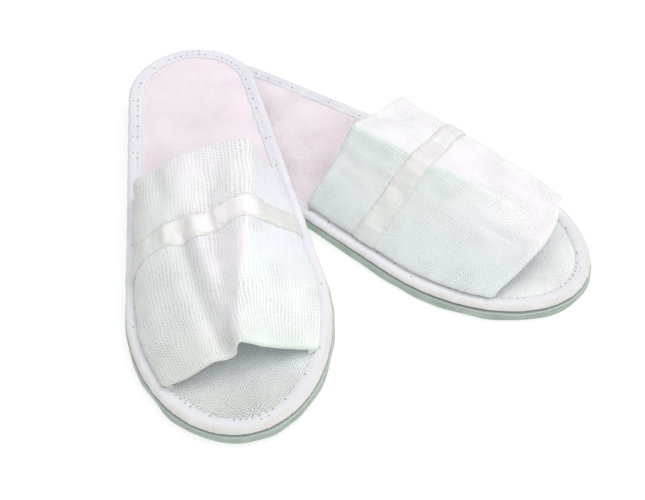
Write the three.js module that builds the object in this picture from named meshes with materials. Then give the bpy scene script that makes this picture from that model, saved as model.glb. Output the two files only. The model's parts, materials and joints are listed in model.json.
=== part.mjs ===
// A pair of open-toe spa slippers, one resting its heel on the heel of the other.
// Sizes are in millimetres. Each slipper is drawn with its heel end at the origin, +X towards the
// toe, +Y across it and +Z up, and is then turned into its place in the pair.
import * as THREE from 'three';

const degrees = THREE.MathUtils.degToRad;

// ---- Sole ----
const LENGTH = 280; // heel end to toe end, over the edge binding
const HEEL_RADIUS = 37.7;
const TOE_LENGTH = 77; // length of the half ellipse that closes the toe
const TAPER = degrees(5.15); // of each straight side, from the toe to the heel
const FLEX_LINE = 190; // where the sole bends under the ball of the foot, from the heel end
const TOE_STEPS = 30; // straight pieces in the toe's curve
const HEEL_STEPS = 18; // and in the heel's
const OUTSOLE_LIP = 0.9; // how far the outsole stands out past the binding
const GAP = 0.3; // left between pieces that touch on the real slipper

// Thickness of each layer, from the floor up. The binding tape passes under and over the middle.
const OUTSOLE = 5;
const TAPE = 0.4;
const BOARD = 0.4;
const FOAM = 0.5;
const COVER = 0.5;
const TOP_FLANGE = 8; // width of the binding tape seen from above
const BOTTOM_FLANGE = 5; // width of the tape under the insole board
const THREAD_RADIUS = 0.2;
const THREAD_GAP = 0.1; // between a thread and the fabric it lies on
const THREAD_INSET = 5; // stitch line, from the outside of the binding

// ---- Upper ----
const UPPER_THICKNESS = 3.8;
const TERRY = 0.9; // outer fabric and lining, each
const PADDING = 1.1; // foam between them
const SEAT = 9.2; // from the outside of the binding to where the upper meets the insole
const HEM_TURN = 0.05; // share of the upper's length that the outer fabric turns in under each edge
const UPPER_LENGTH = 122; // along the foot, used to turn millimetres into shares of the length
const RIBBON = { from: 0.27, to: 0.39, thickness: 0.25, seamAllowance: 0.012 };
const UPRIGHT = 2.5; // height over which each side of the upper rises straight from the insole
const LEVEL_ZONE = 0.05; // share of the way over the foot, at each end, where the layers turn upright
const FOLLOW_ZONE = 1 / 3; // share of the way over the foot, at each end, that follows the sole's side
const ACROSS = 26; // steps over the foot
const ALONG = 8; // steps along the foot
const CLOSEST = 0.02; // smallest step along the foot, as a share of its length
const SLOPE_STEP = 0.01; // share of the upper over which its slope is taken

// The upper is a strip that stands over the foot in soft folds. Each rib is one line over the foot:
// `near` and `far` say where its two ends meet the insole, as distances from the heel end, and
// `over` gives the folds between them as [from the heel end, across, height].
const UPPERS = {
  right: {
    rear: {
      near: 131,
      over: [[135, -25, 30], [138, -8, 48.5], [139, 12, 46.5], [140, 33, 42], [137, 41, 26]],
      far: 134,
    },
    middle: {
      near: 190,
      over: [[193, -29, 27], [196, -7, 42], [195, 12, 41], [194, 32, 37.5], [191, 42, 24]],
      far: 190,
    },
    front: {
      near: 249,
      over: [[254, -19, 21], [258, -4, 32], [255, 12, 33], [248, 28, 31], [245, 36, 20]],
      far: 244,
    },
  },
  left: {
    rear: {
      near: 118,
      over: [[118, -38, 24], [118, -17, 35.5], [119, 4, 42], [122, 22, 43.5], [125, 33, 28]],
      far: 121,
    },
    middle: {
      near: 182,
      over: [[181, -40, 22], [182, -18, 30], [184, -3, 29], [186, 13, 36], [186, 32, 25]],
      far: 184,
    },
    front: {
      near: 248,
      over: [[249, -27, 17], [247, -15, 22.5], [245, -6, 26], [243, 2, 29], [242, 22, 20]],
      far: 241,
    },
  },
};

// ---- Places in the pair: the heel end on the floor plan, the heading, and the tilt of the slipper
// that rests on the other one ----
const PLACES = {
  right: { heel: [-87.6, 136.2, 0], heading: degrees(-37.5), pitch: 0, roll: 0 },
  left: { heel: [-82.2, 147.9, 12.8], heading: degrees(-80.2), pitch: degrees(2.38), roll: degrees(3.1) },
};

const material = (color, roughness) => new THREE.MeshStandardMaterial({ color, roughness, metalness: 0 });
const EVA = material(0xb9cdc3, 0.55);
const CARD = material(0xc9b08a, 0.9);
const WHITE_FOAM = material(0xf3f2ec, 0.85);
const INSOLE_TERRY = material(0xeee6ea, 0.95);
const BINDING = material(0xe9e9f4, 0.8);
const UPPER_TERRY = material(0xf2f5f2, 0.95);
const LINING = material(0xecebe6, 0.9);
const SATIN = material(0xe6e4df, 0.3);
const THREAD = material(0xf1eee2, 0.6);

// Layer heights, stacked with a gap between each and the next.
const heights = {};
let level = 0;
for (const [layer, thickness] of Object.entries({
  outsole: OUTSOLE, lowerFlange: TAPE, board: BOARD, foam: FOAM, cover: COVER, upperFlange: TAPE,
})) {
  heights[layer] = [level, level + thickness];
  level += thickness + GAP;
}
const INSOLE_TOP = heights.cover[1] + GAP;

// ---- Outline: a heel circle and a toe half ellipse joined by their common tangents ----
const toeCentre = LENGTH - TOE_LENGTH;
const spread = (toeCentre - HEEL_RADIUS) * Math.sin(TAPER) + HEEL_RADIUS;
const TOE_HALF_WIDTH = Math.sqrt(spread ** 2 - (TOE_LENGTH * Math.sin(TAPER)) ** 2) / Math.cos(TAPER);

// The outline point whose outward direction is at `angle` from the toe, with that direction.
function outlinePoint(angle, onToe) {
  const outward = new THREE.Vector2(Math.cos(angle), Math.sin(angle));
  if (!onToe) {
    return { point: new THREE.Vector2(HEEL_RADIUS, 0).addScaledVector(outward, HEEL_RADIUS), outward };
  }
  const reach = Math.hypot(TOE_LENGTH * outward.x, TOE_HALF_WIDTH * outward.y);
  const point = new THREE.Vector2(
    toeCentre + (TOE_LENGTH ** 2 * outward.x) / reach,
    (TOE_HALF_WIDTH ** 2 * outward.y) / reach,
  );
  return { point, outward };
}

// Half the sole's width at a distance from the heel end.
function halfWidth(along) {
  const { point, outward } = outlinePoint(Math.PI / 2 + TAPER, true);
  if (along > point.x) {
    return TOE_HALF_WIDTH * Math.sqrt(Math.max(1 - ((along - toeCentre) / TOE_LENGTH) ** 2, 0));
  }
  return point.y + (point.x - along) * (outward.x / outward.y);
}

// Stations along the outline of one half of the sole, anticlockwise, each with its way outwards.
// A half starts and ends on the flex line, where the way outwards is straight across the sole.
function halfOutline(toe) {
  const steps = toe ? TOE_STEPS : HEEL_STEPS;
  const start = toe ? -(Math.PI / 2 + TAPER) : Math.PI / 2 + TAPER;
  const sweep = toe ? Math.PI + 2 * TAPER : Math.PI - 2 * TAPER;
  const stations = [];
  for (let i = 0; i <= steps; i += 1) stations.push(outlinePoint(start + (sweep * i) / steps, toe));
  const cut = FLEX_LINE + (toe ? GAP : -GAP) / 2;
  const atCut = (side) => ({
    point: new THREE.Vector2(cut, side * halfWidth(cut)),
    outward: new THREE.Vector2(0, side / Math.cos(TAPER)),
  });
  return [atCut(toe ? -1 : 1), ...stations, atCut(toe ? 1 : -1)];
}

const moveIn = (station, inset) => station.point.clone().addScaledVector(station.outward, -inset);

// A flat layer of the sole, `inset` from the outside of the binding.
function layerGeometry(toe, inset, [low, high]) {
  const shape = new THREE.Shape(halfOutline(toe).map((station) => moveIn(station, inset)));
  return new THREE.ExtrudeGeometry(shape, { depth: high - low, bevelEnabled: false }).translate(0, 0, low);
}

// A closed solid swept through `count` stations. Its section is a thick line, given as its two
// faces: chains of as many corners each. place(station index, corner) puts a corner in space.
function sweepGeometry([face, back], count, place) {
  const section = [...face, ...back.toReversed()];
  const size = section.length;
  const positions = [];
  for (let i = 0; i < count; i += 1) {
    for (const corner of section) positions.push(...place(i, corner).toArray());
  }
  const index = [];
  const quad = (a, b, c, d) => index.push(a, b, c, a, c, d);
  for (let i = 0; i + 1 < count; i += 1) {
    for (let j = 0; j < size; j += 1) {
      const next = (j + 1) % size;
      quad(i * size + j, i * size + next, (i + 1) * size + next, (i + 1) * size + j);
    }
  }
  const last = (count - 1) * size;
  for (let k = 0; k + 1 < face.length; k += 1) {
    quad(size - 1 - k, size - 2 - k, k + 1, k);
    quad(last + k, last + k + 1, last + size - 2 - k, last + size - 1 - k);
  }
  const geometry = new THREE.BufferGeometry();
  geometry.setAttribute('position', new THREE.Float32BufferAttribute(positions, 3));
  geometry.setIndex(enclosedVolume(positions, index) < 0 ? index.reverse() : index);
  geometry.computeVertexNormals();
  return geometry;
}

function enclosedVolume(positions, index) {
  const corner = (k) => new THREE.Vector3().fromArray(positions, 3 * index[k]);
  let volume = 0;
  for (let k = 0; k < index.length; k += 3) {
    volume += corner(k).dot(corner(k + 1).cross(corner(k + 2))) / 6;
  }
  return volume;
}

// The round section of a thread.
function threadSection(x, y, radiusX, radiusY, sides) {
  const corner = (k) => {
    const turn = (2 * Math.PI * k) / sides;
    return new THREE.Vector2(x + radiusX * Math.cos(turn), y + radiusY * Math.sin(turn));
  };
  const steps = Array.from({ length: sides / 2 }, (_, k) => k);
  return [steps.map((k) => corner(k)), steps.map((k) => corner(-k - 1))];
}

// Sweeps a section of (inset, height) corners along one half of the sole's outline.
function edgeGeometry(toe, section) {
  const stations = halfOutline(toe);
  return sweepGeometry(section, stations.length, (i, corner) => {
    const plan = moveIn(stations[i], corner.x);
    return new THREE.Vector3(plan.x, plan.y, corner.y);
  });
}

// The binding tape: a C that wraps the edge of the insole layers.
function bindingSection() {
  const [low, lowInside] = heights.lowerFlange;
  const [highInside, high] = heights.upperFlange;
  const corners = (list) => list.map(([inset, height]) => new THREE.Vector2(inset, height));
  return [
    corners([[BOTTOM_FLANGE, low], [0, low], [0, high], [TOP_FLANGE, high]]),
    corners([[BOTTOM_FLANGE, lowInside], [TAPE, lowInside], [TAPE, highInside], [TOP_FLANGE, highInside]]),
  ];
}

// ---- The upper's outer surface: u runs from its rear edge to its front edge, v over the foot ----
function ribCurve({ near, over, far }) {
  const foot = (along, side, rise) =>
    new THREE.Vector3(along, side * (halfWidth(along) - SEAT), INSOLE_TOP + rise);
  const folds = over.map((fold) => new THREE.Vector3(...fold));
  return new THREE.CatmullRomCurve3(
    [foot(near, -1, 0), foot(near, -1, UPRIGHT), ...folds, foot(far, 1, UPRIGHT), foot(far, 1, 0)],
    false,
    'centripetal',
  );
}

function upperSurface(ribs) {
  const curves = [ribs.rear, ribs.middle, ribs.front].map(ribCurve);
  // A parabola through the three ribs.
  const between = (u, v) => {
    const weights = [(1 - u) * (1 - 2 * u), 4 * u * (1 - u), u * (2 * u - 1)];
    const point = new THREE.Vector3();
    curves.forEach((curve, k) => point.addScaledVector(curve.getPointAt(v), weights[k]));
    return point;
  };
  // Moves the lower part of each side so that its foot follows the binding all along.
  return (u, v) => {
    const point = between(u, v);
    const side = v < 0.5 ? -1 : 1;
    const foot = between(u, side < 0 ? 0 : 1);
    const fade = Math.max(1 - Math.min(v, 1 - v) / FOLLOW_ZONE, 0);
    point.y += fade * (side * (halfWidth(foot.x) - SEAT) - foot.y);
    return point;
  };
}

// Outward direction of the surface. It turns level towards each foot, so that all the layers of
// the upper stand on the insole.
function surfaceNormal(surface, u, v) {
  const before = (x) => Math.max(x - SLOPE_STEP, 0);
  const after = (x) => Math.min(x + SLOPE_STEP, 1);
  const alongFoot = surface(after(u), v).sub(surface(before(u), v));
  const overFoot = surface(u, after(v)).sub(surface(u, before(v)));
  const level = Math.max(1 - Math.min(v, 1 - v) / LEVEL_ZONE, 0);
  const sideways = new THREE.Vector3(0, v < 0.5 ? -1 : 1, 0);
  return alongFoot.cross(overFoot).normalize().lerp(sideways, level).normalize();
}

// Sweeps a section of (u, depth under the outer surface) corners over the foot.
function upperGeometry(surface, section) {
  return sweepGeometry(section, ACROSS + 1, (i, corner) => {
    const v = i / ACROSS;
    return surface(corner.x, v).addScaledVector(surfaceNormal(surface, corner.x, v), -corner.y);
  });
}

// A chain of corners from u = from to u = to at one depth. Every chain has its inner corners at the
// same values of u, so that the layers keep parallel faces.
function run(from, to, depth) {
  const steps = Array.from({ length: ALONG - 1 }, (_, k) => (k + 1) / ALONG);
  const shared = [HEM_TURN, ...steps, 1 - HEM_TURN];
  const between = shared.filter((u) => u > from + CLOSEST && u < to - CLOSEST);
  return [from, ...between, to].map((u) => new THREE.Vector2(u, depth));
}

// A flat strip of fabric or foam between two values of u.
function slabSection(from, to, top, bottom) {
  return [run(from, to, top), run(from, to, bottom)];
}

// The outer fabric turns round the rear and front edges and a little way back underneath.
function outerSection() {
  const wall = TERRY / UPPER_LENGTH;
  const inside = UPPER_THICKNESS - TERRY;
  const corner = (u, depth) => new THREE.Vector2(u, depth);
  return [
    [
      corner(HEM_TURN, UPPER_THICKNESS), corner(0, UPPER_THICKNESS),
      ...run(0, 1, 0),
      corner(1, UPPER_THICKNESS), corner(1 - HEM_TURN, UPPER_THICKNESS),
    ],
    [
      corner(HEM_TURN, inside), corner(wall, inside),
      ...run(wall, 1 - wall, TERRY),
      corner(1 - wall, inside), corner(1 - HEM_TURN, inside),
    ],
  ];
}

function named(name, geometry, surfaceMaterial) {
  const mesh = new THREE.Mesh(geometry, surfaceMaterial);
  mesh.name = name;
  return mesh;
}

function makeSole(side) {
  const sole = new THREE.Group();
  const threadHeight = heights.upperFlange[1] + THREAD_GAP + THREAD_RADIUS;
  const thread = threadSection(THREAD_INSET, threadHeight, THREAD_RADIUS, THREAD_RADIUS, 6);
  for (const toe of [false, true]) {
    const end = toe ? 'toe' : 'rear';
    sole.add(
      named(`${side}_outsole_${end}`, layerGeometry(toe, -OUTSOLE_LIP, heights.outsole), EVA),
      named(`${side}_insole_board_${end}`, layerGeometry(toe, TAPE + GAP, heights.board), CARD),
      named(`${side}_insole_foam_${end}`, layerGeometry(toe, TAPE + GAP, heights.foam), WHITE_FOAM),
      named(`${side}_insole_cover_${end}`, layerGeometry(toe, TAPE + GAP, heights.cover), INSOLE_TERRY),
      named(`${side}_edge_binding_${end}`, edgeGeometry(toe, bindingSection()), BINDING),
      named(`${side}_binding_thread_${end}`, edgeGeometry(toe, thread), THREAD),
    );
  }
  return sole;
}

function makeUpper(side) {
  const upper = new THREE.Group();
  const surface = upperSurface(UPPERS[side]);
  const clearance = GAP / UPPER_LENGTH;
  const edge = TERRY / UPPER_LENGTH + clearance;
  const inside = UPPER_THICKNESS - TERRY;
  const padding = slabSection(edge, 1 - edge, TERRY + GAP, TERRY + GAP + PADDING);
  const lining = slabSection(HEM_TURN + clearance, 1 - HEM_TURN - clearance, inside, UPPER_THICKNESS);
  const ribbon = slabSection(RIBBON.from, RIBBON.to, -GAP, -GAP - RIBBON.thickness);
  upper.add(
    named(`${side}_upper_outer`, upperGeometry(surface, outerSection()), UPPER_TERRY),
    named(`${side}_upper_padding`, upperGeometry(surface, padding), WHITE_FOAM),
    named(`${side}_upper_lining`, upperGeometry(surface, lining), LINING),
    named(`${side}_ribbon`, upperGeometry(surface, ribbon), SATIN),
  );
  const threadDepth = -GAP - RIBBON.thickness - THREAD_GAP - THREAD_RADIUS;
  const seams = { rear: RIBBON.from + RIBBON.seamAllowance, front: RIBBON.to - RIBBON.seamAllowance };
  for (const [edgeName, u] of Object.entries(seams)) {
    const thread = threadSection(u, threadDepth, THREAD_RADIUS / UPPER_LENGTH, THREAD_RADIUS, 4);
    upper.add(named(`${side}_ribbon_thread_${edgeName}`, upperGeometry(surface, thread), THREAD));
  }
  return upper;
}

function makeSlipper(side) {
  const slipper = new THREE.Group();
  slipper.add(makeSole(side), makeUpper(side));
  const { heel, heading, pitch, roll } = PLACES[side];
  slipper.position.set(...heel);
  slipper.rotation.set(roll, pitch, heading, 'ZYX');
  return slipper;
}

const pair = new THREE.Group();
pair.add(makeSlipper('right'), makeSlipper('left'));

// The origin is on the floor, under the middle of the pair.
const box = new THREE.Box3().setFromObject(pair, true);
pair.position.set(-(box.min.x + box.max.x) / 2, -(box.min.y + box.max.y) / 2, -box.min.z);

const group = new THREE.Group();
group.add(pair);

export default group;
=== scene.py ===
"""A pair of open-toe spa slippers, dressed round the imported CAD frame.

Each slipper is built in its own frame and then placed by the frame's joint and sole: the first
coordinate runs from the heel end to the toe, the second across the sole, the third up, in mm.
"""

import json
import math

import bmesh
import bpy
import numpy as np
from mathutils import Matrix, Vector


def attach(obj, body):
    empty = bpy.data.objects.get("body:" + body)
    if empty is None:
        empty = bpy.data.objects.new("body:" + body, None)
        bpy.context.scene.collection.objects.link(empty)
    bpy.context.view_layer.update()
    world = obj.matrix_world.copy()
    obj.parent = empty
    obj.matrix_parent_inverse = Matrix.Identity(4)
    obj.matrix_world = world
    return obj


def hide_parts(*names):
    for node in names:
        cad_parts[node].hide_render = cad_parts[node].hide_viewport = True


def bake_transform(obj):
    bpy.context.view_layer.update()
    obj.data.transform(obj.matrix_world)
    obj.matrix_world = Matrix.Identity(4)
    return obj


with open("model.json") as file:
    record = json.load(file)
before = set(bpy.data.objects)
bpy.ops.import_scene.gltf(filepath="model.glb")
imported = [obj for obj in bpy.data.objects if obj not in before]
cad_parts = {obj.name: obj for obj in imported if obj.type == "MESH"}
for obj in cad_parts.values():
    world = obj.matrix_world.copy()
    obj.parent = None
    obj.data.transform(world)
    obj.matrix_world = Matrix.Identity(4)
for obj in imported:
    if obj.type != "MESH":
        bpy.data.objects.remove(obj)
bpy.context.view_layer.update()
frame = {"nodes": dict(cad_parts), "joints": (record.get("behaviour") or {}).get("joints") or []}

MM = 0.001

# ---- Driving dimensions, in mm, as in the CAD ----
LENGTH = 280
HEEL_RADIUS = 37.7
TOE_LENGTH = 77
TAPER = math.radians(5.15)
FLEX_LINE = 190
HINGE_HEIGHT = 9.5
OUTSOLE = 5.0
OUTSOLE_LIP = 0.9
INSOLE_TOP = 8.0
UPPER_LENGTH = 122
UPPER_THICKNESS = 3.8
TERRY = 0.9
BOARD = (6.0, 6.4)  # heights of the insole board's underside and top
FOAM = (6.7, 7.2)
COVER_THICKNESS = 0.5
TAPE_THICKNESS = 0.38
RIBBON_THICKNESS = 0.22
RIBBON_WIDTH = 14.5  # between the ribbon's folded edges, on its flat layout

# ---- The soft upper: where it stands and how it is layered ----
SEAT = 7.8  # from the outside of the binding to the foot of the upper
BULGE = (5.4, 11.6)  # the side swells out over the binding: (from the outside, height)
LEVEL_ZONE = 0.05
FOLLOW_ZONE = 1 / 3
HEM = 0.052

# Each rib is one line over the foot: near foot, folds as (from the heel, across, height), far foot.
UPPERS = {
    "right": (
        (131, ((135, -25, 30), (138, -8, 48.5), (139, 12, 46.5), (140, 33, 42), (137, 41, 26)), 134),
        (190, ((193, -29, 27), (196, -7, 42), (195, 12, 41), (194, 32, 37.5), (191, 42, 24)), 190),
        (249, ((254, -19, 21), (258, -4, 32), (255, 12, 33), (248, 28, 31), (245, 36, 20)), 244),
    ),
    "left": (
        (118, ((118, -38, 24), (118, -17, 35.5), (119, 4, 42), (122, 22, 43.5), (125, 33, 28)), 121),
        (182, ((181, -40, 22), (182, -18, 30), (184, -3, 29), (186, 13, 36), (186, 32, 25)), 184),
        (248, ((249, -27, 17), (247, -15, 22.5), (245, -6, 26), (243, 2, 29), (242, 22, 20)), 241),
    ),
}
# Folds of the fabric, as (u, v) points from the rear edge to the front edge, height, width, and
# whether the fold is a sharp crest.
FOLDS = {
    "right": (
        (
            ((-0.12, 0.40), (0.16, 0.41), (0.31, 0.432), (0.47, 0.436), (0.62, 0.455), (0.9, 0.48)),
            3.1, 5.0, True,
        ),
        (((-0.12, 0.70), (0.17, 0.695), (0.30, 0.665), (0.42, 0.65), (0.60, 0.65)), 1.3, 6, True),
        (((0.38, 0.64), (0.67, 0.65), (0.82, 0.68), (1.12, 0.70)), -0.9, 4.5, False),
        (((0.38, 0.71), (0.67, 0.72), (0.82, 0.74), (1.12, 0.75)), 0.8, 5, True),
        (((-0.12, 0.56), (0.24, 0.60)), -0.7, 8, False),
    ),
    "left": (
        (
            ((-0.12, 0.68), (0.01, 0.67), (0.29, 0.64), (0.53, 0.61), (0.78, 0.553), (1.0, 0.515),
             (1.12, 0.50)),
            3.3, 6, True,
        ),
        (
            ((0.30, 0.325), (0.44, 0.335), (0.55, 0.35), (0.67, 0.37), (0.88, 0.395), (1.0, 0.42),
             (1.12, 0.43)),
            -4.2, 6.8, False,
        ),
        (((0.74, 0.45), (1.0, 0.47), (1.2, 0.475)), -2.0, 4.2, False),
        (((-0.12, 0.22), (0.05, 0.24), (0.27, 0.27)), -2.4, 6, False),
        (((-0.12, 0.34), (0.28, 0.36)), 0.7, 6, False),
        (((0.46, 0.20), (0.7, 0.24), (0.95, 0.25)), -0.8, 7, False),
    ),
}
# Edges of the ribbon as shares of the upper's length, at shares of the way over the foot.
RIBBONS = {
    "right": ((0.0, 0.43, 0.66, 1.0), (0.285, 0.315, 0.30, 0.29), (0.41, 0.425, 0.405, 0.40)),
    "left": (
        (0.0, 0.12, 0.26, 0.34, 0.465, 0.64, 0.94, 1.0),
        (0.41, 0.375, 0.33, 0.315, 0.288, 0.27, 0.25, 0.25),
        (0.50, 0.475, 0.44, 0.425, 0.395, 0.38, 0.365, 0.365),
    ),
}
# The ribbon's ripples: middle of the slack part and its reach, crest and pitch, as shares, and
# height.
RIPPLES = {"right": (0.2, 0.25, 0.1, 0.14, 0.35), "left": (0.33, 0.17, 0.275, 0.12, 2.1)}
STITCH = 4.3  # along the binding
RIBBON_STITCH = 3.1
STITCH_DEPTH = 0.3  # how far a stitch sinks into the ribbon
THREAD_RADIUS = 0.2
STATIONS = 800  # round the sole
SLACK = 0.035  # how much larger the fabric is than the shape it covers
MOST_SETTLING = 2.0
SETTLE_FRAMES = 30
SETTLE_GRID = (41, 61)  # points of the simulated sheet: front to rear, over the foot


# ---- Small tools ----
def eased(x):
    x = np.clip(x, 0, 1)
    return x * x * (3 - 2 * x)


def bell(x, width):
    return np.exp(-((x / width) ** 2))


def waves(seed, size, *axes):
    """Smooth random waves, mostly within -1 to 1, about `size` mm long."""
    rng = np.random.default_rng(seed)
    total = 0
    for _ in range(8):
        direction = rng.normal(size=len(axes))
        direction *= 2 * math.pi / (size * rng.uniform(0.7, 1.6) * np.linalg.norm(direction))
        total = total + np.sin(sum(d * a for d, a in zip(direction, axes)) + rng.uniform(0, 2 * math.pi))
    return total / 3


def catmull(points, t):
    """Points on a centripetal Catmull-Rom curve, t from 0 to 1 (points: count, 3)."""
    points = np.asarray(points, float)
    last = len(points) - 1
    ends = np.vstack([2 * points[0] - points[1], points, 2 * points[-1] - points[-2]])
    x = np.clip(t, 0, 1) * last
    i = np.minimum(x.astype(int), last - 1)
    w = (x - i)[:, None]
    p0, p1, p2, p3 = ends[i], ends[i + 1], ends[i + 2], ends[i + 3]
    d0, d1, d2 = (
        np.maximum(np.linalg.norm(b - a, axis=1) ** 0.5, 1e-4)[:, None]
        for a, b in ((p0, p1), (p1, p2), (p2, p3))
    )
    m1 = ((p1 - p0) / d0 - (p2 - p0) / (d0 + d1) + (p2 - p1) / d1) * d1
    m2 = ((p2 - p1) / d1 - (p3 - p1) / (d1 + d2) + (p3 - p2) / d2) * d1
    return p1 + m1 * w + (3 * (p2 - p1) - 2 * m1 - m2) * w**2 + (2 * (p1 - p2) + m1 + m2) * w**3


def arc_length(points):
    return np.concatenate([[0], np.cumsum(np.linalg.norm(np.diff(points, axis=0), axis=1))])


def measured(lines):
    """The mean length of lines of points, in m."""
    return round(float(np.mean([arc_length(line)[-1] for line in lines])) * MM, 3)


def spaced(points, v):
    """The curve's points at even shares v of its length."""
    t = np.linspace(0, 1, 600)
    length = arc_length(catmull(points, t))
    return catmull(points, np.interp(v, length / length[-1], t))


# ---- Outline of the sole ----
TOE_CENTRE = LENGTH - TOE_LENGTH
SPREAD = (TOE_CENTRE - HEEL_RADIUS) * math.sin(TAPER) + HEEL_RADIUS
TOE_HALF = math.sqrt(SPREAD**2 - (TOE_LENGTH * math.sin(TAPER)) ** 2) / math.cos(TAPER)


def outline(count):
    """`count` stations round the sole from the heel end: place, way out, distance round."""
    heel = np.linspace(math.pi, math.pi / 2 + TAPER, 300)
    toe = np.linspace(math.pi / 2 + TAPER, 0, 400)
    out_heel = np.column_stack([np.cos(heel), np.sin(heel)])
    out_toe = np.column_stack([np.cos(toe), np.sin(toe)])
    reach = np.hypot(TOE_LENGTH * out_toe[:, 0], TOE_HALF * out_toe[:, 1])
    on_heel = out_heel * HEEL_RADIUS + [HEEL_RADIUS, 0]
    on_toe = out_toe * [TOE_LENGTH**2, TOE_HALF**2] / reach[:, None] + [TOE_CENTRE, 0]
    place, out = np.vstack([on_heel, on_toe]), np.vstack([out_heel, out_toe])
    length = arc_length(place)
    at = np.linspace(0, length[-1], count // 2 + 1)
    half = np.column_stack([np.interp(at, length, c) for c in (*place.T, *out.T)])
    other = half[-2:0:-1] * [1, -1, 1, -1]
    both = np.vstack([half, other])
    around = np.concatenate([at, 2 * length[-1] - at[-2:0:-1]])
    return both[:, :2], both[:, 2:], around, 2 * length[-1]


def half_width(along):
    edge = TOE_CENTRE - TOE_LENGTH**2 * math.sin(TAPER) / math.hypot(
        TOE_LENGTH * math.sin(TAPER), TOE_HALF * math.cos(TAPER)
    )
    width = TOE_HALF * np.sqrt(np.maximum(1 - ((edge - TOE_CENTRE) / TOE_LENGTH) ** 2, 0))
    curve = TOE_HALF * np.sqrt(np.maximum(1 - ((along - TOE_CENTRE) / TOE_LENGTH) ** 2, 0))
    return np.where(along > edge, curve, width - (edge - along) * math.tan(TAPER))


PLACE, OUT, AROUND, PERIMETER = outline(STATIONS)


def ring(inset, height):
    """A line round the sole. inset and height may differ from station to station."""
    plan = PLACE - np.asarray(inset).reshape(-1, 1) * OUT
    return np.column_stack([plan, np.broadcast_to(height, len(plan))])


# ---- Meshes ----
def placed(name, data):
    """A new object in the scene."""
    thing = bpy.data.objects.new(name, data)
    bpy.context.scene.collection.objects.link(thing)
    return thing


class Solid:
    """Gathers vertices and faces in a slipper's frame, with a flat layout of its cloth in mm."""

    def __init__(self):
        self.points, self.faces, self.layouts, self.count = [], [], {}, 0

    def add_points(self, points):
        start = self.count
        self.points.append(np.asarray(points, float).reshape(-1, 3))
        self.count += len(self.points[-1])
        return start

    def grid(self, points, wrap=(False, False), **layouts):
        """Quads over a grid of points. A wrapped layout has one more row or column."""
        rows, columns = points.shape[:2]
        start = self.add_points(points)
        ni, nj = rows - (not wrap[0]), columns - (not wrap[1])
        i, j = (a.ravel() for a in np.meshgrid(np.arange(ni), np.arange(nj), indexing="ij"))
        steps = ((0, 0), (1, 0), (1, 1), (0, 1))
        quads = [((i + a) % rows) * columns + (j + b) % columns + start for a, b in steps]
        self.faces.append(np.column_stack(quads))
        for name, layout in layouts.items():
            corners = [layout[i + a, j + b] for a, b in steps]
            self.layouts.setdefault(name, []).append(np.stack(corners, 1))
        return start + np.arange(rows * columns).reshape(rows, columns)

    def polygons(self, faces, **layouts):
        faces = np.asarray(faces)
        self.faces.append(faces)
        for name, layout in layouts.items():
            self.layouts.setdefault(name, []).append(layout)

    def object(self, name, slipper):
        points = slipper.to_row(np.vstack(self.points))
        faces = [f for block in self.faces for f in block.tolist()]
        mesh = bpy.data.meshes.new(name)
        mesh.from_pydata(points.tolist(), [], faces)
        for layout, blocks in self.layouts.items():
            values = np.concatenate([b.reshape(-1, 2) for b in blocks])
            mesh.uv_layers.new(name=layout).data.foreach_set("uv", values.astype(np.float32).ravel())
        rest = mesh.attributes.new("rest", "FLOAT_VECTOR", "POINT")
        rest.data.foreach_set("vector", np.vstack(self.points).astype(np.float32).ravel())
        work = bmesh.new()
        work.from_mesh(mesh)
        bmesh.ops.recalc_face_normals(work, faces=work.faces)
        work.to_mesh(mesh)
        work.free()
        mesh.polygons.foreach_set("use_smooth", [True] * len(mesh.polygons))
        return placed(name, mesh)


def filled(rings, height_top, height_bottom, strips=26):
    """A slab: rings from the inner edge of its top, round the side, to the inner edge of its base."""
    solid = Solid()
    rings = np.stack(rings)
    solid.grid(rings, wrap=(False, True), cloth=np.concatenate([rings, rings[:, :1]], 1)[..., :2])
    half = STATIONS // 2
    for level, height in ((0, height_top), (len(rings) - 1, height_bottom)):
        left, right = rings[level, 1:half], rings[level, : -half : -1]
        share = np.linspace(0, 1, strips + 1)[None, :, None]
        rows = left[:, None] * (1 - share) + right[:, None] * share
        rows[:, 1:-1, 2] = height(rows[:, 1:-1, 0], rows[:, 1:-1, 1])
        start = solid.add_points(rows[:, 1:-1])
        ids = np.arange(len(rows) * (strips - 1)).reshape(len(rows), strips - 1) + start
        edge = np.arange(STATIONS) + level * STATIONS
        ids = np.column_stack([edge[1:half], ids, edge[: -half : -1]])
        quads = np.stack([ids[:-1, :-1], ids[1:, :-1], ids[1:, 1:], ids[:-1, 1:]], -1).reshape(-1, 4)
        flat = rows[..., :2]
        corners = np.stack([flat[:-1, :-1], flat[1:, :-1], flat[1:, 1:], flat[:-1, 1:]], -2)
        solid.polygons(quads, cloth=corners.reshape(-1, 4, 2))
        for tip, row in ((0, 0), (half, len(rows) - 1)):
            fan = [[edge[tip], a, b] for a, b in zip(ids[row, :-1], ids[row, 1:])]
            point = np.broadcast_to(rings[level, tip, :2], (strips, 2))
            solid.polygons(fan, cloth=np.stack([point, flat[row, :-1], flat[row, 1:]], 1))
    return solid


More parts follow.
